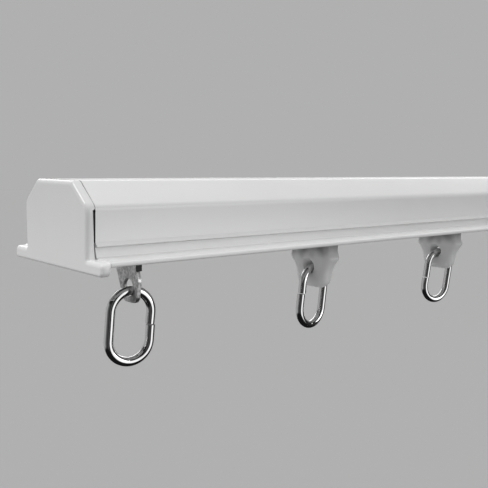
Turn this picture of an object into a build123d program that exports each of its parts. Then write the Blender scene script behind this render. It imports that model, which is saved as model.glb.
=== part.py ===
from build123d import *
from math import atan2, cos, pi, radians, sin, sqrt, tan
import os

# A ceiling curtain track. An extruded aluminium channel is screwed up to the ceiling and
# closed by a moulded cap at each end. An end hanger is clamped near each end, and roller
# gliders run between the two. Every hanger and glider carries an oval split ring.
# X runs along the track, -Y is the room side and Z is up. The origin is the middle of the
# channel's flat top face, which lies against the ceiling.

# Channel: an octagon-shouldered body over a wide flange, with a slot along the bottom.
rail_length = 664.0
rail_height = 27.0
top_half_width = 12.35
shoulder_half_width = 21.95
shoulder_drop = 8.15
foot_half_width = 21.5
wall = 1.8
top_edge_radius = 1.5
shoulder_radius = 3.0
ledge_top_drop = 19.85
ledge_height = 1.4
ledge_reach = 0.75
ledge_radius = 0.3
flange_half_width = 31.75
flange_thickness = 2.0
flange_fall = 0.35
flange_top_radius = 0.9
flange_bottom_radius = 0.5
slot_half_width = 5.0
bead_width = 1.2
bead_height = 1.0

# Screw holes through the top wall, reached from below through the slot.
fixing_spacing = 168.0
fixing_hole_radius = 2.25
fixing_drill_depth = 2 * wall

# End caps: a plate that stands a hair off the channel's end, with a hollow plug inside it.
cap_depth = 3.2
cap_gap = 0.6
cap_drop = 3.0
cap_flange_height = 4.5
cap_overhang = 0.9
cap_shoulder_radius = 4.0
cap_corner_radius = 1.8
cap_edge_radius = 1.4
cap_foot_radius = 0.5
plug_length = 9.0
plug_wall = 1.6
plug_clearance = 0.15

# Oval split rings.
wire_radius = 1.8
ring_width = 20.2
ring_height = 30.8
ring_cut = 0.5
ring_end_round = 0.35
ring_drop = 14.3
ring_rest_gap = 0.3
ring_eye_clearance = 0.6

# End hangers: a stamped plate hung in a moulded stop block, locked by two grub screws.
hanger_inset = 25.4
hanger_ring_shift = 0.6
hanger_ring_gap = 0.4
plate_thickness = 1.5
plate_waist_half_width = 7.3
plate_waist_drop = 6.5
plate_eye_radius = 3.4
plate_eye_rim = 2.05
tongue_half_width = 7.0
tongue_shift = -0.5
tongue_lean = 12.5
tongue_tip_half_width = 4.4
tongue_top_radius = 0.4
tongue_side_radius = 3.0
tongue_tip_radius = 3.2
head_half_width = 8.0
head_height = 5.8
head_seat = 2.0
stop_half_length = 9.0
stop_half_width = 14.0
stop_height = 12.0
stop_clearance = 0.1
stop_corner = 2.0
stop_chamfer = 1.0
ear_thickness = 0.7
ear_web = 0.5
neck_reach = 4.0
grub_offset = 5.6
grub_radius = 2.0
grub_engagement = 8.0
grub_clearance = 0.05
grub_socket_flats = 2.0
grub_socket_depth = 2.0
grub_point = 0.5

# Gliders: a moulded body with a head inside the channel, two wheels on one axle, and a
# rounded lobe below that holds the ring.
glider_count = 5
running_gap = 0.4
neck_clearance = 0.6
neck_half_length = 5.0
head_half_length = 8.0
head_half_span = 8.6
head_rise = 3.6
bead_clearance = 0.7
wheel_radius = 7.5
wheel_width = 5.5
wheel_gap = 0.15
wheel_side_gap = 0.3
wheel_tread_round = 0.6
wheel_recess_inner = 3.2
wheel_recess_outer = 5.6
wheel_recess_depth = 1.0
axle_radius = 1.5
axle_clearance = 0.05
axle_head_radius = 2.6
axle_head_thickness = 0.8
glider_widest = 5.3
lobe_corner_share = 0.72
lobe_depth = 23.3
lobe_edge_round = 0.8
throat_offset = -0.6
throat_ease = 0.5
head_corner_radius = 1.0
axle_head_round = 0.3

# Drop below the track, half width and half thickness of a glider's body, from the wings
# under the flange, over the bead at their foot, to just past the lobe's flat bottom. The
# body is lofted through these sections and through even slices between each two.
slices_per_section = 3
glider_sections = [
    (running_gap, 11.8, 5.1),
    (3.4, 11.6, 5.2),
    (6.4, 11.5, glider_widest),
    (9.4, 12.6, 5.1),
    (12.4, 10.8, 4.4),
    (15.4, 9.4, 3.9),
    (18.4, 9.0, 3.7),
    (21.4, 7.9, 3.3),
    (24.4, 4.2, 1.6),
]

# Each ring at rest, from the left end to the right: its turn about the vertical and its lean
# in its own plane, in degrees, and the side that its cut faces, 1 for +X and -1 for -X.
ring_turns = [-8.5, 6.0, -10.5, 5.0, -7.0, 8.0, 10.0]
ring_leans = [4.5, 8.0, 9.0, 5.0, 3.0, 6.0, 3.5]
ring_cut_sides = [1, -1, -1, -1, 1, -1, 1]
ring_cut_drops = [4.7, 4.6, 7.2, 5.5, 6.2, 5.0, 5.8]

# Derived places.
underside = -rail_height
lip_top = underside + flange_thickness
bead_top = lip_top + bead_height
slope = atan2(shoulder_drop, shoulder_half_width - top_half_width)
rail_end = rail_length / 2
cap_bottom = underside - cap_drop
cap_flange_top = cap_bottom + cap_flange_height
ring_top_z = underside - ring_drop
hanger_x = rail_end - hanger_inset
glider_pitch = 2 * hanger_x / (glider_count + 1)
axle_z = lip_top + wheel_gap + wheel_radius
ring_bend_radius = ring_width / 2 - wire_radius
ring_inner_radius = ring_bend_radius - wire_radius
ring_leg = ring_height - ring_width
bend_z = ring_top_z - ring_bend_radius
throat_radius = wire_radius + ring_eye_clearance
throat_flare = ring_inner_radius - throat_ease


def body_half(inset, floor):
    """Half of the channel's body outline, moved inwards by a distance, down to a floor."""
    top = top_half_width - inset * tan(slope / 2)
    shoulder_z = -shoulder_drop - inset * tan((pi / 2 - slope) / 2)
    return [
        (0, -inset),
        (top, -inset),
        (shoulder_half_width - inset, shoulder_z),
        (foot_half_width - inset, floor),
        (0, floor),
    ]


def write(solid, name):
    """Labels a finished piece and writes it under that name."""
    solid.label = name
    export_step(solid, f"parts/{name}.step")


os.makedirs("parts", exist_ok=True)

# Channel: one half of the section is drawn, mirrored and extruded along the track.
outer = body_half(0, lip_top)
chamber = body_half(wall, lip_top)
ledge_bottom = -ledge_top_drop - ledge_height
section = [
    outer[0],
    outer[1],
    outer[2],
    (foot_half_width + ledge_reach / 4, -ledge_top_drop),
    (foot_half_width + ledge_reach, ledge_bottom),
    (foot_half_width, ledge_bottom - ledge_reach / 2),
    (foot_half_width, lip_top),
    (flange_half_width, lip_top - flange_fall),
    (flange_half_width, underside),
    (slot_half_width, underside),
    (slot_half_width, bead_top),
    (slot_half_width + bead_width, bead_top),
    (slot_half_width + bead_width, lip_top),
    chamber[3],
    chamber[2],
    chamber[1],
    chamber[0],
]
section_radii = [
    top_edge_radius,
    shoulder_radius,
    ledge_radius,
    ledge_radius,
    ledge_radius,
    ledge_radius,
    flange_top_radius,
    flange_bottom_radius,
    ledge_radius,
    ledge_radius,
    ledge_radius,
    ledge_radius,
    ledge_radius,
    shoulder_radius - wall,
    ledge_radius,
]
with BuildPart() as rail:
    with BuildSketch(Plane.YZ.offset(-rail_end)):
        with BuildLine():
            FilletPolyline(*section, radius=section_radii)
            Line(section[-1], section[0])
        make_face()
        mirror(about=Plane.YZ)
    extrude(amount=rail_length)
    with Locations(Plane.XY):
        with GridLocations(fixing_spacing, 0, 2, 1):
            Hole(fixing_hole_radius, depth=fixing_drill_depth)
write(rail.part, "rail")

# End caps: the plate follows the channel's outline without its ledge, and its flange hangs
# below and beyond the channel's own. The plug slides into the chamber above the lip beads.
cap_outline = body_half(0, cap_flange_top)[:4] + [
    (flange_half_width + cap_overhang, cap_flange_top),
    (flange_half_width + cap_overhang, cap_bottom),
    (0, cap_bottom),
]
cap_radii = [
    cap_corner_radius,
    cap_shoulder_radius,
    cap_foot_radius,
    cap_corner_radius,
    cap_corner_radius,
]
plug_floor = bead_top + plug_clearance
plug_outline = body_half(wall + plug_clearance, plug_floor)
plug_hollow = body_half(wall + plug_clearance + plug_wall, plug_floor + plug_wall)
for side, sign in (("left", -1), ("right", 1)):
    seat = sign * (rail_end + cap_gap)
    with BuildPart() as cap:
        with BuildSketch(Plane.YZ.offset(seat)):
            with BuildLine():
                FilletPolyline(*cap_outline, radius=cap_radii)
                Line(cap_outline[-1], cap_outline[0])
            make_face()
            mirror(about=Plane.YZ)
        extrude(amount=sign * cap_depth)
        rim = cap.faces().sort_by(Axis.X)[-1 if sign > 0 else 0]
        fillet(rim.edges(), cap_edge_radius)
        with BuildSketch(Plane.YZ.offset(seat)):
            with BuildLine():
                Polyline(*plug_outline, close=True)
            make_face()
            with BuildLine():
                Polyline(*plug_hollow, close=True)
            make_face(mode=Mode.SUBTRACT)
            mirror(about=Plane.YZ)
        extrude(amount=-sign * (cap_gap + plug_length))
    write(cap.part, f"end_cap_{side}")


def ring_plane(x, y, number):
    """The plane that a ring lies in, with its origin at the centre of its upper bend."""
    turn = radians(ring_turns[number])
    lean = radians(ring_leans[number])
    return Plane(
        origin=(x, y, bend_z),
        x_dir=(cos(turn) * cos(lean), sin(turn) * cos(lean), -sin(lean)),
        z_dir=(sin(turn), -cos(turn), 0),
    )


def split_ring(x, y, number):
    """An oval ring of round wire, cut square across one leg."""
    plane = ring_plane(x, y, number)
    leg_x = ring_cut_sides[number] * ring_bend_radius
    cut_top = ring_cut / 2 - ring_cut_drops[number]
    cut_bottom = cut_top - ring_cut
    with BuildPart() as ring:
        with BuildLine(plane) as path:
            Line((leg_x, cut_bottom), (leg_x, -ring_leg))
            ThreePointArc(
                (leg_x, -ring_leg), (0, -ring_leg - ring_bend_radius), (-leg_x, -ring_leg)
            )
            Line((-leg_x, -ring_leg), (-leg_x, 0))
            ThreePointArc((-leg_x, 0), (0, ring_bend_radius), (leg_x, 0))
            Line((leg_x, 0), (leg_x, cut_top))
        with BuildSketch(Plane(origin=path.wire() @ 0, z_dir=path.wire() % 0)):
            Circle(wire_radius)
        sweep(path=path.wire())
        fillet(ring.faces().filter_by(GeomType.PLANE).edges(), ring_end_round)
    return ring.part


def flare_at(offset):
    """The eye's radius in a glider's lobe at a distance from the lobe's middle plane."""
    along = offset - throat_offset
    return throat_radius + throat_flare - sqrt(throat_flare**2 - along**2)


def slope_at(number, column):
    """How fast a width or thickness changes with the drop at one glider section."""
    before = glider_sections[max(number - 1, 0)]
    after = glider_sections[min(number + 1, len(glider_sections) - 1)]
    return (after[column] - before[column]) / (after[0] - before[0])


def slice_after(number, share):
    """The drop, half width and half thickness a share of the way to the next section."""
    start, stop = glider_sections[number : number + 2]
    height = stop[0] - start[0]
    sizes = [start[0] + share * height]
    for column in (1, 2):
        rise = (3 - 2 * share) * share**2 * (stop[column] - start[column])
        leaving = share * (1 - share) ** 2 * height * slope_at(number, column)
        arriving = share**2 * (1 - share) * height * slope_at(number + 1, column)
        sizes.append(start[column] + rise + leaving - arriving)
    return sizes


# End hangers. The plate drops into the stop block from above and rests on its floor by a
# T-head. Below the track its tongue leans to the room side down to the eye.
head_floor = bead_top + head_seat
head_top = head_floor + head_height
stop_top = bead_top + stop_height
plate_neck = slot_half_width - neck_clearance
waist_bottom = underside - plate_waist_drop
eye_z = bend_z + ring_inner_radius - hanger_ring_gap + plate_eye_radius
tongue_bottom = eye_z - plate_eye_radius - plate_eye_rim
eye_y = tongue_shift + tan(radians(tongue_lean)) * (eye_z - waist_bottom)
tongue_y = tongue_shift + tan(radians(tongue_lean)) * (tongue_bottom - waist_bottom)
tongue_radii = [
    tongue_top_radius,
    tongue_side_radius,
    tongue_tip_radius,
    tongue_tip_radius,
    tongue_side_radius,
    tongue_top_radius,
]
for side, sign in (("left", -1), ("right", 1)):
    x = sign * hanger_x
    with BuildPart() as plate:
        with BuildSketch(Plane.YZ.offset(x)):
            with BuildLine():
                Polyline(
                    (0, head_top),
                    (head_half_width, head_top),
                    (head_half_width, head_floor),
                    (plate_neck, head_floor),
                    (plate_neck, underside - running_gap),
                    (plate_waist_half_width, underside - running_gap),
                    (plate_waist_half_width, waist_bottom),
                    (0, waist_bottom),
                    close=True,
                )
            make_face()
            mirror(about=Plane.YZ)
            with BuildLine():
                FilletPolyline(
                    (tongue_shift + tongue_half_width, waist_bottom),
                    (eye_y + tongue_half_width, eye_z + plate_eye_radius),
                    (tongue_y + tongue_tip_half_width, tongue_bottom),
                    (tongue_y - tongue_tip_half_width, tongue_bottom),
                    (eye_y - tongue_half_width, eye_z + plate_eye_radius),
                    (tongue_shift - tongue_half_width, waist_bottom),
                    radius=tongue_radii,
                    close=True,
                )
            make_face()
            with Locations((eye_y, eye_z)):
                Circle(plate_eye_radius, mode=Mode.SUBTRACT)
        extrude(amount=plate_thickness / 2, both=True)
    write(plate.part, f"hanger_{side}_plate")

    # Stop block: rests on the lip beads, with a pocket for the plate's head, a neck behind
    # the plate's own and, under the track, a web with an ear at each side of the waist.
    pocket_half = plate_thickness / 2 + stop_clearance
    ear_top = underside - running_gap
    ear_bottom = waist_bottom + stop_clearance
    ear_inner = plate_waist_half_width + stop_clearance
    ear_outer = ear_inner + ear_thickness
    ear_depth = plate_thickness / 2 + pocket_half + ear_web
    with BuildPart() as stop:
        with BuildSketch(Plane.XY.offset(bead_top)):
            with Locations((x, 0)):
                RectangleRounded(2 * stop_half_length, 2 * stop_half_width, stop_corner)
        extrude(amount=stop_height)
        chamfer(stop.faces().sort_by(Axis.Z)[-1].edges(), stop_chamfer)
        with BuildSketch(Plane.XY.offset(ear_bottom)):
            with Locations((x - plate_thickness / 2, 0)):
                Rectangle(ear_depth, 2 * ear_outer, align=(Align.MIN, Align.CENTER))
            with Locations((x, 0)):
                Rectangle(2 * pocket_half, 2 * ear_inner, mode=Mode.SUBTRACT)
        extrude(amount=ear_top - ear_bottom)
        with BuildSketch(Plane.XY.offset(ear_top)):
            with Locations((x + pocket_half, 0)):
                Rectangle(neck_reach, 2 * plate_neck, align=(Align.MIN, Align.CENTER))
        extrude(amount=bead_top - ear_top)
        with BuildSketch(Plane.XY.offset(bead_top)):
            with Locations((x, 0)):
                Rectangle(2 * pocket_half, 2 * (plate_neck + stop_clearance))
        extrude(amount=head_seat, mode=Mode.SUBTRACT)
        with BuildSketch(Plane.XY.offset(head_floor)):
            with Locations((x, 0)):
                Rectangle(2 * pocket_half, 2 * (head_half_width + stop_clearance))
        extrude(amount=stop_height, mode=Mode.SUBTRACT)
        with Locations((x - grub_offset, 0, stop_top), (x + grub_offset, 0, stop_top)):
            Hole(grub_radius + grub_clearance, depth=stop_height)
    write(stop.part, f"hanger_{side}_stop")

    # Grub screws: threaded up through the block until they press on the channel's roof.
    grub_top = -wall
    grub_bottom = stop_top - grub_engagement
    with BuildPart() as grubs:
        with BuildSketch(Plane.XY.offset(grub_top)):
            with Locations((x - grub_offset, 0), (x + grub_offset, 0)):
                Circle(grub_radius)
        extrude(amount=grub_bottom - grub_top)
        chamfer(grubs.faces().sort_by(Axis.Z)[-2:].edges(), grub_point)
        with BuildSketch(Plane.XY.offset(grub_bottom)):
            with Locations((x - grub_offset, 0), (x + grub_offset, 0)):
                RegularPolygon(grub_socket_flats / 2, 6, major_radius=False)
        extrude(amount=grub_socket_depth, mode=Mode.SUBTRACT)
    write(grubs.part, f"hanger_{side}_grub_screws")

    number = 0 if sign < 0 else glider_count + 1
    write(split_ring(x + hanger_ring_shift, eye_y, number), f"hanger_{side}_ring")

# Gliders. The body is moulded in one piece: a head inside the channel, a neck through the
# slot, wings just under the flange and a lobe that tapers down around the ring's eye.
wing_top = underside - running_gap
head_bottom = bead_top + bead_clearance
throat_z = bend_z + ring_inner_radius - ring_rest_gap + throat_radius
wheel_inner = head_half_span + wheel_side_gap
wheel_outer = wheel_inner + wheel_width
axle_half_length = wheel_outer + wheel_side_gap + axle_head_thickness
glider_slices = []
for number in range(len(glider_sections) - 1):
    for step in range(slices_per_section):
        glider_slices.append(slice_after(number, step / slices_per_section))
glider_slices.append(glider_sections[-1])
for number in range(1, glider_count + 1):
    x = glider_pitch * (number - (glider_count + 1) / 2)
    throat_x = x + throat_offset
    with BuildPart() as body:
        for drop, half_width, half_thickness in glider_slices:
            with BuildSketch(Plane.XY.offset(underside - drop)):
                with Locations((x, 0)):
                    corner = lobe_corner_share * half_thickness
                    RectangleRounded(2 * half_thickness, 2 * half_width, corner)
        loft()
        split(bisect_by=Plane.XY.offset(underside - lobe_depth), keep=Keep.TOP)
        fillet(body.faces().sort_by(Axis.Z)[0].edges(), lobe_edge_round)
        with BuildSketch(Plane.XY.offset(wing_top)):
            with Locations((x, 0)):
                Rectangle(2 * neck_half_length, 2 * (slot_half_width - neck_clearance))
        extrude(amount=head_bottom - wing_top)
        with BuildSketch(Plane.XY.offset(head_bottom)):
            with Locations((x, 0)):
                Rectangle(2 * head_half_length, 2 * head_half_span)
        extrude(amount=axle_z + head_rise - head_bottom)
        upright = body.edges().filter_by(Axis.Z).filter_by(lambda e: e.center().Z > head_bottom)
        fillet(upright, head_corner_radius)
        with BuildSketch(Plane.XZ):
            with Locations((x, axle_z)):
                Circle(axle_radius + axle_clearance)
        extrude(amount=head_half_span, both=True, mode=Mode.SUBTRACT)
        with BuildSketch(Plane.XZ):
            with BuildLine():
                left_mouth = (x - glider_widest, throat_z - flare_at(-glider_widest))
                right_mouth = (x + glider_widest, throat_z - flare_at(glider_widest))
                ThreePointArc(left_mouth, (throat_x, throat_z - throat_radius), right_mouth)
                Polyline(
                    right_mouth,
                    (x + glider_widest, throat_z),
                    (x - glider_widest, throat_z),
                    left_mouth,
                )
            make_face()
        revolve(axis=Axis((x, 0, throat_z), (1, 0, 0)), mode=Mode.SUBTRACT)
    write(body.part, f"glider_{number}_body")

    # Axle: a steel pin with a head at one end and a riveted head at the other.
    with BuildPart() as axle:
        with BuildSketch(Plane.XZ):
            with Locations((x, axle_z)):
                Circle(axle_radius)
        extrude(amount=axle_half_length, both=True)
        for end in (-1, 1):
            with BuildSketch(Plane.XZ.offset(end * (axle_half_length - axle_head_thickness))):
                with Locations((x, axle_z)):
                    Circle(axle_head_radius)
            extrude(amount=end * axle_head_thickness)
        fillet(
            axle.edges().filter_by(GeomType.CIRCLE).sort_by(Axis.Y).group_by(Axis.Y)[0]
            + axle.edges().filter_by(GeomType.CIRCLE).group_by(Axis.Y)[-1],
            axle_head_round,
        )
    write(axle.part, f"glider_{number}_axle")

    # Wheels: moulded rollers with a rounded tread and a recess in the outer face.
    for place, sign in (("front", -1), ("back", 1)):
        with BuildPart() as wheel:
            with BuildSketch(Plane.XZ.offset(-sign * wheel_inner)):
                with Locations((x, axle_z)):
                    Circle(wheel_radius)
                    Circle(axle_radius + axle_clearance, mode=Mode.SUBTRACT)
            extrude(amount=-sign * wheel_width)
            tread = wheel.edges().filter_by(lambda e: e.length > 2 * pi * wheel_recess_outer)
            fillet(tread, wheel_tread_round)
            with BuildSketch(Plane.XZ.offset(-sign * wheel_outer)):
                with Locations((x, axle_z)):
                    Circle(wheel_recess_outer)
                    Circle(wheel_recess_inner, mode=Mode.SUBTRACT)
            extrude(amount=sign * wheel_recess_depth, mode=Mode.SUBTRACT)
        write(wheel.part, f"glider_{number}_wheel_{place}")

    write(split_ring(throat_x, 0, number), f"glider_{number}_ring")
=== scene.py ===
import math

import bmesh
import bpy
from mathutils import Matrix, Vector


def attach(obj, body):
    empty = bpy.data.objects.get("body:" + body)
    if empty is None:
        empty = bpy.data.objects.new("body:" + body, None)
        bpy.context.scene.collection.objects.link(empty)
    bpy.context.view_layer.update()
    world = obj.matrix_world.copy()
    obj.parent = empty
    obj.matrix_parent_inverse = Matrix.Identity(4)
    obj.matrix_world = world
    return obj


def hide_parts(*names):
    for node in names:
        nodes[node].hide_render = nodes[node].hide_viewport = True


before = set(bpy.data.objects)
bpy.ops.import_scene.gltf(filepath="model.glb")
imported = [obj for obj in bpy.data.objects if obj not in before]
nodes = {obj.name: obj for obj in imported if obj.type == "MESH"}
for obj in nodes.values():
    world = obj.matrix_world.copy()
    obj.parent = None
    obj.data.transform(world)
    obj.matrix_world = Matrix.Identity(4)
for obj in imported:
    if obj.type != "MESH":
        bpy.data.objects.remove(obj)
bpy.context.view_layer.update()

# Camera: low beside the left end and a little above the track, looking along it towards
# the room side, with the near end cap, one end hanger and two gliders in view.
mm = 0.001
scene = bpy.context.scene
eye_point = Vector((-447.9, -227.2, 6.9)) * mm
camera_yaw = math.radians(41.256)
camera_pitch = math.radians(-6.551)
camera_roll = math.radians(0.843)
camera = bpy.data.objects.new("camera", bpy.data.cameras.new("camera"))
scene.collection.objects.link(camera)
camera.data.sensor_width = 36
camera.data.lens = 52.67
camera.data.clip_start = 10 * mm
turned = Matrix.Rotation(-camera_yaw, 4, "Z")
tilted = Matrix.Rotation(math.pi / 2 + camera_pitch, 4, "X")
rolled = Matrix.Rotation(camera_roll, 4, "Z")
camera.matrix_world = Matrix.Translation(eye_point) @ turned @ tilted @ rolled
scene.camera = camera


# Channel: the extruded aluminium track, screwed up to the ceiling through its roof. It is
# powder coated white, so its faces carry a fine orange peel over faint extrusion lines.
class Socket:
    """A node's socket. Operators on it add Math nodes, and node() adds any other node."""

    def __init__(self, tree, socket):
        self.tree = tree
        self.socket = socket

    def node(self, kind, settings, links, output=0):
        made = self.tree.nodes.new(kind)
        for name, value in settings.items():
            if name == "stops":
                ramp = made.color_ramp
                ramp.elements.remove(ramp.elements[1])
                ramp.elements[0].position, ramp.elements[0].color = value[0]
                for position, colour in value[1:]:
                    ramp.elements.new(position).color = colour
            elif name == "choices":
                while len(made.index_switch_items) < value:
                    made.index_switch_items.new()
            else:
                setattr(made, name, value)
        for name, value in links.items():
            if isinstance(value, Socket):
                self.tree.links.new(value.socket, made.inputs[name])
            else:
                made.inputs[name].default_value = value
        return Socket(self.tree, made.outputs[output]) if made.outputs else None

    def math(self, operation, first, second):
        return self.node("ShaderNodeMath", {"operation": operation}, {0: first, 1: second})

    def along(self, axis):
        """How far these coordinates go along X, Y or Z."""
        return self.node("ShaderNodeSeparateXYZ", {}, {0: self}, axis)

    def blend(self, first, second):
        """A colour that goes from the first to the second as this value goes from 0 to 1."""
        links = {0: self, 6: first, 7: second}
        return self.node("ShaderNodeMix", {"data_type": "RGBA"}, links, 2)

    def stretched(self, x, y, z):
        """These coordinates scaled along each axis, so that a pattern on them draws out."""
        return self.node("ShaderNodeMapping", {}, {"Vector": self, "Scale": (x, y, z)})

    def noise(self, scale, detail=2.0, roughness=0.5):
        """Cloudy noise on these coordinates, from 0 to 1, with its lumps 1/scale across."""
        links = {"Vector": self, "Scale": scale, "Detail": detail, "Roughness": roughness}
        return self.node("ShaderNodeTexNoise", {}, links)

    def between(self, low, high):
        """0 where this value is below low, 1 above high, and smooth from one to the other."""
        settings = {"interpolation_type": "SMOOTHSTEP"}
        return self.node("ShaderNodeMapRange", settings, {0: self, 1: low, 2: high})

    def __add__(self, other):
        return self.math("ADD", self, other)

    def __radd__(self, other):
        return self.math("ADD", other, self)

    def __sub__(self, other):
        return self.math("SUBTRACT", self, other)

    def __rsub__(self, other):
        return self.math("SUBTRACT", other, self)

    def __mul__(self, other):
        return self.math("MULTIPLY", self, other)

    def __rmul__(self, other):
        return self.math("MULTIPLY", other, self)


def grey(level):
    """An even grey, as a colour."""
    return (level, level, level, 1)


def new_material(name):
    """A material without nodes, and the Object coordinates of whatever wears it."""
    material = bpy.data.materials.new(name)
    material.use_nodes = True
    material.node_tree.nodes.clear()
    coordinates = material.node_tree.nodes.new("ShaderNodeTexCoord")
    return material, Socket(material.node_tree, coordinates.outputs["Object"])


def finish_with(place, sockets, relief):
    """Joins a material's shader. Relief is the height of its surface in metres."""
    bump = place.node("ShaderNodeBump", {}, {"Height": relief, "Distance": 1.0})
    shader = place.node("ShaderNodeBsdfPrincipled", {}, {**sockets, "Normal": bump})
    place.node("ShaderNodeOutputMaterial", {}, {"Surface": shader})


def wear(node, material):
    """Gives a CAD node its material."""
    nodes[node].data.materials.clear()
    nodes[node].data.materials.append(material)


rail_end = 332.0 * mm
underside = -27.0 * mm
bare_from = rail_end - 0.01 * mm
painted_shade_above = -20.0 * mm
powder_coat, place = new_material("white powder coat")
peel = place.noise(620.0, 3.0, 0.55)
grain = place.noise(3600.0, 2.0, 0.6)
draw_lines = place.stretched(3.0, 900.0, 900.0).noise(1.0, 3.0, 0.6)
clouds = place.stretched(30.0, 60.0, 60.0).noise(1.0, 3.0, 0.5)
coat_tone = clouds.between(0.35, 0.65).blend(grey(0.785), grey(0.798))
length = place.along("X")
height = place.along("Z")
# The channel's cut end is bare metal, and it is painted dark grey only in its upper part, as
# painted shade in the seam gap behind the end caps.
at_end = length.math("GREATER_THAN", length * length, bare_from**2)
bare_end_painted_shade = at_end * height.math("GREATER_THAN", height, painted_shade_above)
sockets = {
    "Base Color": bare_end_painted_shade.blend(coat_tone, grey(0.30)),
    "Metallic": bare_end_painted_shade,
    "Roughness": 0.22 + 0.02 * clouds + 0.06 * grain,
    "IOR": 1.5,
}
finish_with(place, sockets, 14e-6 * peel + 3e-6 * grain + 4e-6 * draw_lines)
# The ledge low on each side wall is drawn out towards its foot, and so is the wall's own
# foot, where it meets the flange.
wall_near = 21.45 * mm
wall_far = 22.5 * mm
ledge_top = -19.75 * mm
ledge_foot = -21.45 * mm
ledge_reach = 0.8 * mm
ledge_fall = 1.3 * mm
ledge_rise = 0.75 * mm
foot_low = -25.1 * mm
foot_high = -24.5 * mm
foot_slant = 0.95 * mm
merge_distance = 0.001 * mm
flat_angle = math.radians(0.5)
sharp_angle = math.radians(30)


def merged(node):
    """A copy of a CAD node's mesh to work on, with its loose triangles joined."""
    shape = bmesh.new()
    shape.from_mesh(nodes[node].data)
    bmesh.ops.remove_doubles(shape, verts=shape.verts, dist=merge_distance)
    return shape


def flattened(shape):
    """Joins the triangles that lie in one plane and shades every face smooth."""
    edges, corners = shape.edges, shape.verts
    bmesh.ops.dissolve_limit(shape, angle_limit=flat_angle, verts=corners, edges=edges)
    for face in shape.faces:
        face.smooth = True


drawn = merged("rail")
for corner in drawn.verts:
    spot = corner.co
    if not wall_near < abs(spot.y) < wall_far:
        continue
    if ledge_foot < spot.z < ledge_top:
        share = min(1.0, (ledge_top - spot.z) / ledge_fall)
        reach = ledge_reach * share * (abs(spot.y) - wall_near) / ledge_rise
        spot.y += math.copysign(min(ledge_reach, reach), spot.y)
    if foot_low < spot.z < foot_high:
        spot.y += math.copysign(foot_slant, spot.y)
flattened(drawn)
for edge in drawn.edges:
    edge.smooth = edge.is_manifold and edge.calc_face_angle() < sharp_angle
channel_mesh = bpy.data.meshes.new("channel")
drawn.to_mesh(channel_mesh)
drawn.free()
channel_mesh.materials.append(powder_coat)
channel = bpy.data.objects.new("channel", channel_mesh)
scene.collection.objects.link(channel)
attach(channel, "track")
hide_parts("rail")

# End caps: hollow covers moulded in white plastic, a little glossier than the channel. Each
# stands a hair off the channel's end on a plug pushed inside, and its sides have shrunk
# back, so that the seam gapes along them and narrows at the foot and the top.
cap_depth = 3.8 * mm
cap_skin = 1.7 * mm
cap_rim = 1.5 * mm
foot_rim = 0.95 * mm
cap_back_edge = 0.85 * mm
flange_end_edge = 1.1 * mm
flange_back_edge = 1.2 * mm
flange_lift = 0.5 * mm
flange_top = -25.5 * mm
foot_width = 23.0 * mm
gape_top = -9.0 * mm
gape_foot = -22.5 * mm
gape_widest = 1.1 * mm
gape_narrowest = 0.6 * mm
seam = 0.2 * mm
foot_seam = 0.05 * mm
flange_face = 0.1 * mm
edge_band = 0.2 * mm
lift_band = 0.4 * mm
arc_steps = 8
longest_piece = 1.0 * mm
# Half of a cap's outline from the top down, and of its plug's, in millimetres: how far each
# corner is from the middle, its height and the radius that rounds it.
cap_half = [
    (13.1, 0.0, 1.8),
    (22.9, -8.0, 4.8),
    (22.42, -25.5, 0.5),
    (32.1, -25.5, 1.8),
    (32.1, -30.0, 1.8),
]
plug_half = [(10.9, -3.2, 0.6), (19.0, -10.0, 0.6), (18.6, -22.6, 0.6)]


def outline_of(half):
    """Points round a mirrored outline with rounded corners, each with its way inwards."""
    corners = [(-y * mm, z * mm, r * mm) for y, z, r in half]
    corners += [(-y, z, r) for y, z, r in reversed(corners)]
    found = []
    for number, (y, z, radius) in enumerate(corners):
        here = Vector((y, z))
        before = Vector(corners[number - 1][:2])
        after = Vector(corners[(number + 1) % len(corners)][:2])
        first, last = (
            Vector((-way.y, way.x)).normalized() for way in (here - before, after - here)
        )
        bulge = math.copysign(radius, first.cross(last))
        centre = here + bulge * (first + last) / (1 + first.dot(last))
        for step in range(arc_steps + 1):
            inwards = first.slerp(last, step / arc_steps)
            found.append((centre - bulge * inwards, inwards))
    points = []
    for number, (point, inwards) in enumerate(found):
        start, way = found[number - 1]
        pieces = max(1, math.ceil((point - start).length / longest_piece))
        for piece in range(1, pieces):
            points.append((start.lerp(point, piece / pieces), way))
        points.append((point, inwards))
    return points


def gap_at(point):
    """How far the cap's edge stands off the channel's end at a point of its outline."""
    if point.y < flange_top + flange_face:
        return foot_seam
    if point.y > gape_top:
        return seam
    if point.y < gape_foot:
        rise, height = point.y - flange_top, gape_foot - flange_top
        return seam + (gape_narrowest - seam) * rise / height
    share = (point.y - gape_foot) / (gape_top - gape_foot)
    return gape_narrowest + (gape_widest - gape_narrowest) * share


def shell_of(name, side, rings, material):
    """A closed shell through rings of points, with a flat face over its first and last."""
    shell = bmesh.new()
    rows = [[shell.verts.new((side * x, y, z)) for x, y, z in ring] for ring in rings]
    for row, following in zip(rows, rows[1:]):
        for number in range(len(row)):
            corners = (row[number - 1], row[number], following[number], following[number - 1])
            shell.faces.new(corners).smooth = True
    shell.faces.new(rows[0])
    shell.faces.new(rows[-1])
    bmesh.ops.recalc_face_normals(shell, faces=shell.faces)
    mesh = bpy.data.meshes.new(name)
    shell.to_mesh(mesh)
    shell.free()
    mesh.materials.append(material)
    piece = bpy.data.objects.new(name, mesh)
    scene.collection.objects.link(piece)
    return piece


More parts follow.
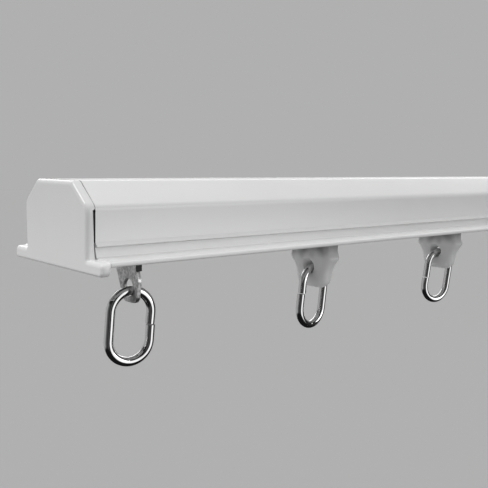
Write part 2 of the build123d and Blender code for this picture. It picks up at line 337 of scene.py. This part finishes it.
cap_plastic, place = new_material("white cap plastic")
flow = place.stretched(60.0, 90.0, 25.0).noise(1.0, 3.0, 0.5)
grain = place.noise(2400.0, 2.0, 0.5)
height = place.along("Z")
# Painted light: the cap's colour grows paler towards its foot, as if lit from below, with
# faint flow marks mixed in.
flow_and_painted_foot_light = height * (-1.0 / (30.0 * mm)) + 0.25 * flow - 0.125
cap_tone = flow_and_painted_foot_light.between(0.0, 1.0).blend(grey(0.755), grey(0.825))
sockets = {"Base Color": cap_tone, "Roughness": 0.20 + 0.08 * flow, "IOR": 1.49}
finish_with(place, sockets, 20e-6 * flow + 2e-6 * grain)


def front_edge(point, inwards, angle):
    """A point of the cover's rounded front edge: how far inwards it is and its place along."""
    rim = cap_rim + (foot_rim - cap_rim) * max(0.0, inwards.y)
    inset = rim * (1 - math.sin(angle))
    return inset, rail_end + cap_depth - rim * (1 - math.cos(angle))


def back_edge(point, inwards, angle):
    """A point of the cover's rounded back edge, where the flange's top rises a little."""
    edge = cap_back_edge if abs(point.x) < foot_width else flange_end_edge
    if point.y < underside - edge_band:
        edge = flange_back_edge
    fall = edge
    if point.y < flange_top + lift_band:
        fall -= (edge + flange_lift) * max(0.0, -inwards.y)
    inset = fall * (1 - math.cos(angle))
    return inset, rail_end + gap_at(point) + edge * (1 - math.sin(angle))


def inside_wall(point, inwards, depth):
    """A point of the cover's inner wall at a depth from the channel's end."""
    return cap_skin, rail_end + max(gap_at(point), depth)


def plug_wall(point, inwards, spot):
    """A point of the plug, at a spot given as its inset and how far out it reaches."""
    inset, reach = spot
    return inset * mm, rail_end + reach * mm


def rings_of(half, edge_point, settings):
    """One ring of points for each setting, round an outline moved inwards and along."""
    found = []
    for setting in settings:
        ring = []
        for point, inwards in outline_of(half):
            inset, along = edge_point(point, inwards, setting)
            spot = point + inset * inwards
            ring.append((along, spot.x, spot.y))
        found.append(ring)
    return found


quarter = [math.radians(degrees) for degrees in range(0, 91, 15)]
cap_rings = (
    rings_of(cap_half, front_edge, quarter)
    + rings_of(cap_half, back_edge, quarter)
    + rings_of(cap_half, inside_wall, (0.0, cap_depth - cap_skin))
)
plug_places = [(0.0, 1.9), (0.0, -6.0), (1.6, -6.0), (1.6, 1.9)]
plug_rings = rings_of(plug_half, plug_wall, plug_places)
for side, sign in (("left", -1), ("right", 1)):
    cap = shell_of(f"cap_{side}_cover", sign, cap_rings, cap_plastic)
    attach(cap, "track")
    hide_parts(f"end_cap_{side}")
    plug = shell_of(f"cap_{side}_plug", sign, plug_rings, cap_plastic)
    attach(plug, "track")

# End hangers: a stamped steel plate hung in a black moulded stop block, which two grub
# screws lock in the channel.
stamped_steel, place = new_material("stamped steel")
brush = place.stretched(400.0, 2600.0, 160.0).noise(1.0, 4.0, 0.65)
stains = place.noise(420.0, 4.0, 0.6)
specks = place.stretched(1300.0, 1300.0, 900.0).noise(1.0, 3.0, 0.6)
mottle = (0.4 * stains + 0.6 * specks).between(0.36, 0.64)
steel_tone = mottle.blend(grey(0.40), grey(0.84))
sockets = {
    "Base Color": steel_tone,
    "Metallic": 1.0,
    "Roughness": 0.34 + 0.22 * stains,
}
finish_with(place, sockets, 10e-6 * brush + 14e-6 * specks + 6e-6 * stains)
stop_plastic, place = new_material("black stop plastic")
pebble = place.noise(1500.0, 2.0, 0.5)
stop_tone = pebble.blend(grey(0.012), grey(0.028))
sockets = {"Base Color": stop_tone, "Roughness": 0.5 + 0.2 * pebble}
finish_with(place, sockets, 25e-6 * pebble)


def eased(node, body, width, material):
    """Makes a piece that stands for a CAD node, the same shape with its edges eased."""
    shape = merged(node)
    flattened(shape)
    mesh = nodes[node].data.copy()
    shape.to_mesh(mesh)
    shape.free()
    mesh.materials.clear()
    mesh.materials.append(material)
    piece = bpy.data.objects.new(node + "_eased", mesh)
    scene.collection.objects.link(piece)
    edges = piece.modifiers.new("eased edges", "BEVEL")
    edges.width = width
    edges.segments = 3
    edges.limit_method = "ANGLE"
    edges.angle_limit = math.radians(35)
    edges.harden_normals = True
    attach(piece, body)
    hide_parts(node)


plate_edge = 0.22 * mm
for side in ("left", "right"):
    eased(f"hanger_{side}_plate", "track", plate_edge, stamped_steel)
    wear(f"hanger_{side}_grub_screws", stamped_steel)
    wear(f"hanger_{side}_stop", stop_plastic)

# Gliders: one moulded body of grey nylon each, with a steel axle riveted through its head
# and a plastic wheel on each side that rolls on the channel's lips. The nylon's colour holds
# painted shade: darker at the top, under the flange, and towards the back, and paler towards
# its foot, with faint flow rings round its gate.
glider_nylon, place = new_material("grey glider nylon")
across = place.along("Y")
height = place.along("Z")
flow = place.stretched(120.0, 120.0, 70.0).noise(1.0, 4.0, 0.55)
grain = place.noise(1800.0, 2.0, 0.5)
gate_across = -3.0 * mm
gate_height = -36.0 * mm
painted_shade_bottom = underside - 2.5 * mm
painted_shade_fade = 8.5 * mm
links = {"Y": across - gate_across, "Z": height - gate_height}
gate = place.node("ShaderNodeCombineXYZ", {}, links)
settings = {"wave_type": "RINGS", "rings_direction": "SPHERICAL"}
links = {"Vector": gate, "Scale": 48.0, "Distortion": 1.6, "Detail": 2.0, "Detail Scale": 3.0}
ripples = place.node("ShaderNodeTexWave", settings, links, "Fac")
# Painted shade: dark above the flange's shadow line and towards the back, fading paler down
# the foot; the flow and ripples are the moulding's own marks.
painted_shade_and_flow = (painted_shade_bottom - height) * (1.0 / painted_shade_fade) - across * (0.012 / mm)
painted_shade_and_flow = (painted_shade_and_flow + 0.4 * flow + 0.16 * ripples - 0.24).between(0.0, 1.0)
nylon_tone = painted_shade_and_flow.blend((0.13, 0.13, 0.132, 1), (0.84, 0.84, 0.842, 1))
sockets = {
    "Base Color": nylon_tone,
    "Roughness": 0.38 + 0.12 * flow,
    "IOR": 1.53,
    "Subsurface Weight": 0.5,
    "Subsurface Radius": (1.0, 1.0, 1.0),
    "Subsurface Scale": 4.0 * mm,
}
finish_with(place, sockets, 40e-6 * flow + 12e-6 * ripples + 4e-6 * grain)
wheel_plastic, place = new_material("pale wheel plastic")
tread = place.noise(2200.0, 2.0, 0.5)
wheel_tone = tread.blend((0.55, 0.55, 0.54, 1), (0.62, 0.62, 0.61, 1))
sockets = {"Base Color": wheel_tone, "Roughness": 0.4 + 0.15 * tread}
finish_with(place, sockets, 5e-6 * tread)
glider_count = 5
for number in range(1, glider_count + 1):
    wear(f"glider_{number}_body", glider_nylon)
    wear(f"glider_{number}_axle", stamped_steel)
    wear(f"glider_{number}_wheel_front", wheel_plastic)
    wear(f"glider_{number}_wheel_back", wheel_plastic)

# Rings: polished round wire bent to an oval and cut square across one leg. Each one hangs
# loose in its eye, a little turned and leaning.
ring_steel, place = new_material("polished ring steel")
smudge = place.noise(260.0, 3.0, 0.6)
scratch = place.stretched(1400.0, 1400.0, 500.0).noise(1.0, 3.0, 0.7)
ring_tone = smudge.blend(grey(0.70), grey(0.80))
sockets = {
    "Base Color": ring_tone,
    "Metallic": 1.0,
    "Roughness": 0.03 + 0.06 * smudge + 0.04 * scratch,
}
finish_with(place, sockets, 16e-6 * smudge + 2e-6 * scratch)
wire_radius = 1.8 * mm
ring_bend_radius = 8.3 * mm
# The leg is a hair shorter than the solid ring's, which keeps the wire inside its box.
ring_leg = 10.59 * mm
ring_cut = 0.5 * mm
ring_end_round = 0.35 * mm
ring_bend_z = -49.6 * mm
bend_share = 0.999
bend_steps = 26
wire_sides = 36
cut_end_angle = math.radians(60)
# Each ring from left to right: its body and CAD node, where its upper bend's centre is
# along and across the track, its turn and lean in degrees, the side of its cut, how far
# below that centre the cut is and how far its upper end has slipped inwards there. A slip
# squeezes the upper bend, so a larger one runs the wire into the eye.
rings = [
    ("hanger_left_ring", -306.0, -1.963, -8.5, 4.5, 1, 4.7, 0.3),
    ("glider_1_ring", -205.0, 0.0, 6.0, 8.0, -1, 4.6, 0.5),
    ("glider_2_ring", -102.8, 0.0, -10.5, 9.0, -1, 7.2, 0.2),
    ("glider_3_ring", -0.6, 0.0, 5.0, 5.0, -1, 5.5, 0.4),
    ("glider_4_ring", 101.6, 0.0, -7.0, 3.0, 1, 6.2, 0.4),
    ("glider_5_ring", 203.8, 0.0, 8.0, 6.0, -1, 5.0, 0.2),
    ("hanger_right_ring", 307.2, -1.963, 10.0, 3.5, 1, 5.8, 0.5),
]
ring_tree = bpy.data.node_groups.new("split ring", "GeometryNodeTree")
for name, kind in (
    ("Wire Radius", "NodeSocketFloat"),
    ("Bend Radius", "NodeSocketFloat"),
    ("Leg", "NodeSocketFloat"),
    ("Cut", "NodeSocketFloat"),
    ("Cut Side", "NodeSocketFloat"),
    ("Cut Drop", "NodeSocketFloat"),
    ("Cut Slip", "NodeSocketFloat"),
    ("Place", "NodeSocketVector"),
    ("Turn and Lean", "NodeSocketVector"),
    ("Material", "NodeSocketMaterial"),
):
    ring_tree.interface.new_socket(name, in_out="INPUT", socket_type=kind)
ring_tree.interface.new_socket("Ring", in_out="OUTPUT", socket_type="NodeSocketGeometry")
given = ring_tree.nodes.new("NodeGroupInput").outputs
wire, bend, leg, cut, cut_side, cut_drop, cut_slip = (
    Socket(ring_tree, given[number]) for number in range(7)
)
leg_x = cut_side * bend
far_x = -1.0 * leg_x
foot_z = -1.0 * (leg + bend)
corners = [
    (leg_x, -0.5 * cut - cut_drop),
    (leg_x, foot_z),
    (far_x, foot_z),
    (far_x, bend),
    (leg_x, bend),
    (leg_x - cut_side * cut_slip, 0.5 * cut - cut_drop),
]
links = {0: wire.node("GeometryNodeInputIndex", {}, {})}
for number, (x, z) in enumerate(corners):
    links[number + 1] = wire.node("ShaderNodeCombineXYZ", {}, {"X": x, "Z": z})
settings = {"data_type": "VECTOR", "choices": len(corners)}
spots = wire.node("GeometryNodeIndexSwitch", settings, links)
line = wire.node("GeometryNodeMeshLine", {}, {"Count": len(corners)})
path = wire.node("GeometryNodeMeshToCurve", {}, {"Mesh": line})
path = wire.node("GeometryNodeSetPosition", {}, {"Geometry": path, "Position": spots})
links = {"Curve": path, "Count": bend_steps, "Radius": bend_share * bend}
path = wire.node("GeometryNodeFilletCurve", {"mode": "POLY"}, links)
links = {"Resolution": wire_sides, "Radius": wire}
profile = wire.node("GeometryNodeCurvePrimitiveCircle", {}, links)
links = {"Curve": path, "Profile Curve": profile, "Fill Caps": True}
tube = wire.node("GeometryNodeCurveToMesh", {}, links)
tube = wire.node("GeometryNodeSetShadeSmooth", {}, {"Geometry": tube})
links = {
    "Geometry": tube,
    "Translation": Socket(ring_tree, given["Place"]),
    "Rotation": Socket(ring_tree, given["Turn and Lean"]),
}
tube = wire.node("GeometryNodeTransform", {}, links)
tube = wire.node("GeometryNodeRealizeInstances", {}, {"Geometry": tube})
links = {"Geometry": tube, "Material": Socket(ring_tree, given["Material"])}
tube = wire.node("GeometryNodeSetMaterial", {}, links)
wire.node("NodeGroupOutput", {}, {"Ring": tube})


def grow(tree, name, values):
    """Runs a Geometry Nodes tree on named values and returns what it makes as a piece."""
    seed = bpy.data.objects.new(name + ".seed", bpy.data.meshes.new(name + ".seed"))
    scene.collection.objects.link(seed)
    modifier = seed.modifiers.new("grow", "NODES")
    modifier.node_group = tree
    for item in tree.interface.items_tree:
        if item.in_out == "INPUT":
            modifier[item.identifier] = values[item.name]
    seed.update_tag()
    made = seed.evaluated_get(bpy.context.evaluated_depsgraph_get())
    piece = bpy.data.objects.new(name, bpy.data.meshes.new_from_object(made))
    scene.collection.objects.link(piece)
    bpy.data.objects.remove(seed)
    return piece


for node, x, y, turn, lean, side, drop, slip in rings:
    values = {
        "Wire Radius": wire_radius,
        "Bend Radius": ring_bend_radius,
        "Leg": ring_leg,
        "Cut": ring_cut,
        "Cut Side": float(side),
        "Cut Drop": drop * mm,
        "Cut Slip": slip * mm,
        "Place": (x * mm, y * mm, ring_bend_z),
        "Turn and Lean": (0.0, math.radians(lean), math.radians(turn)),
        "Material": ring_steel,
    }
    ring = grow(ring_tree, node + "_wire", values)
    rounding = ring.modifiers.new("cut ends", "BEVEL")
    rounding.width = ring_end_round
    rounding.segments = 3
    rounding.angle_limit = cut_end_angle
    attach(ring, node)
    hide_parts(node)

# Floor: a plain pale studio floor far below, wide enough to reach the horizon. It looks
# like the cloth behind it, and throws back a little less light than that onto the track.
floor_level = -1250.0 * mm
floor_half = 28000.0 * mm
floor_grey, place = new_material("pale floor")
rays = floor_grey.node_tree.nodes.new("ShaderNodeLightPath").outputs
is_camera = Socket(floor_grey.node_tree, rays["Is Camera Ray"])
floor_tone = is_camera.blend(grey(0.34), grey(0.421))
shader = place.node("ShaderNodeBsdfDiffuse", {}, {"Color": floor_tone})
place.node("ShaderNodeOutputMaterial", {}, {"Surface": shader})
floor_mesh = bpy.data.meshes.new("floor")
floor_corners = [(-1, -1), (1, -1), (1, 1), (-1, 1)]
floor_points = [(x * floor_half, y * floor_half, floor_level) for x, y in floor_corners]
floor_mesh.from_pydata(floor_points, [], [(0, 1, 2, 3)])
floor_mesh.materials.append(floor_grey)
floor = bpy.data.objects.new("floor", floor_mesh)
scene.collection.objects.link(floor)
floor.visible_glossy = False

# Light: a soft studio, brightest overhead, with wide lamps on the left and in front, one on
# the right and a small one high on the left that edges catch. Polished metal shows walls:
# pale cloth behind with a strip and a dark beam, a dark front and a bright screen, right.
horizon_glow = 0.02
ceiling_glow = 0.62
cloth_grey = 0.434
floor_dark = 0.01
ceiling_bright = 0.60
beam_dark = 0.02
strip_bright = 2.8
cloth_top = 0.85
# Where each of them starts and is full: how far to the back or front, and how high.
cloth_back = (0.45, 0.75)
cloth_rise = (0.14, 0.30)
strip_back = (0.60, 0.80)
strip_foot = (0.18, 0.27)
strip_head = (0.40, 0.50)
beam_rise = (0.30, 0.42)
beam_front = (-0.7, -0.5)
ceiling_rise = (0.74, 0.86)
floor_fall = (0.35, 0.55)
right_hand = (math.cos(camera_yaw), -math.sin(camera_yaw), 0.0)
front_hand = (-math.sin(camera_yaw), -math.cos(camera_yaw), 0.0)
# Each wall's place round the track, in degrees from the camera's side towards the right,
# and its brightness.
walls = [
    (-180, 0.08),
    (-162, 0.10),
    (-146, 0.42),
    (-92, 0.44),
    (-76, 0.40),
    (-62, 0.16),
    (-34, 0.07),
    (-8, 0.02),
    (4, 0.12),
    (16, 0.03),
    (34, 0.02),
    (44, 1.00),
    (60, 1.40),
    (80, 1.20),
    (90, 0.03),
    (130, 0.03),
    (142, 0.42),
    (164, 0.42),
    (174, 0.08),
    (180, 0.08),
]
studio = bpy.data.worlds.new("studio")
scene.world = studio
studio.use_nodes = True
studio.node_tree.nodes.clear()
studio.cycles.sampling_method = "NONE"
coordinates = studio.node_tree.nodes.new("ShaderNodeTexCoord")
way = Socket(studio.node_tree, coordinates.outputs["Generated"])
dot = {"operation": "DOT_PRODUCT"}
to_right = way.node("ShaderNodeVectorMath", dot, {0: way, 1: right_hand}, "Value")
to_front = way.node("ShaderNodeVectorMath", dot, {0: way, 1: front_hand}, "Value")
height = way.along("Z")
above = height.math("MAXIMUM", height, 0.0)
glow = above.blend(grey(horizon_glow), grey(ceiling_glow))
bearing = way.math("ARCTAN2", to_right, to_front) * (0.5 / math.pi) + 0.5
stops = [(degrees / 360 + 0.5, grey(level)) for degrees, level in walls]
seen = way.node("ShaderNodeValToRGB", {"stops": stops}, {0: bearing})
to_back = -1.0 * to_front
behind = to_back.between(*cloth_back) * height.between(*cloth_rise)
seen = behind.blend(seen, grey(cloth_top))
strip = to_back.between(*strip_back) * height.between(*strip_foot)
strip = strip * (1.0 - height.between(*strip_head))
seen = strip.blend(seen, grey(strip_bright))
beam = height.between(*beam_rise) * to_front.between(*beam_front)
seen = beam.blend(seen, grey(beam_dark))
seen = height.between(*ceiling_rise).blend(seen, grey(ceiling_bright))
seen = (-1.0 * height).between(*floor_fall).blend(seen, grey(floor_dark))
rays = studio.node_tree.nodes.new("ShaderNodeLightPath").outputs
is_glossy = Socket(studio.node_tree, rays["Is Glossy Ray"])
is_camera = Socket(studio.node_tree, rays["Is Camera Ray"])
colour = is_glossy.blend(glow, seen)
colour = is_camera.blend(colour, grey(cloth_grey))
background = way.node("ShaderNodeBackground", {}, {"Color": colour, "Strength": 1.0})
way.node("ShaderNodeOutputWorld", {}, {"Surface": background})
# Each far lamp: the way to it, its strength, how wide it looks in degrees and whether
# polished surfaces show it.
for name, way_to, strength, spread, shows in (
    ("left lamp", (-0.80, 0.55, 0.22), 1.38, 90, False),
    ("right lamp", (0.56, -0.80, 0.17), 0.40, 30, True),
    ("front lamp", (0.32, -0.50, 0.80), 1.05, 80, False),
    ("high lamp", (-0.60, 0.19, 0.775), 0.75, 8, True),
):
    lamp = bpy.data.objects.new(name, bpy.data.lights.new(name, "SUN"))
    scene.collection.objects.link(lamp)
    lamp.data.energy = strength
    lamp.data.angle = math.radians(spread)
    lamp.rotation_euler = Vector(way_to).to_track_quat("Z", "Y").to_euler()
    lamp.visible_glossy = shows
scene.view_settings.view_transform = "Standard"
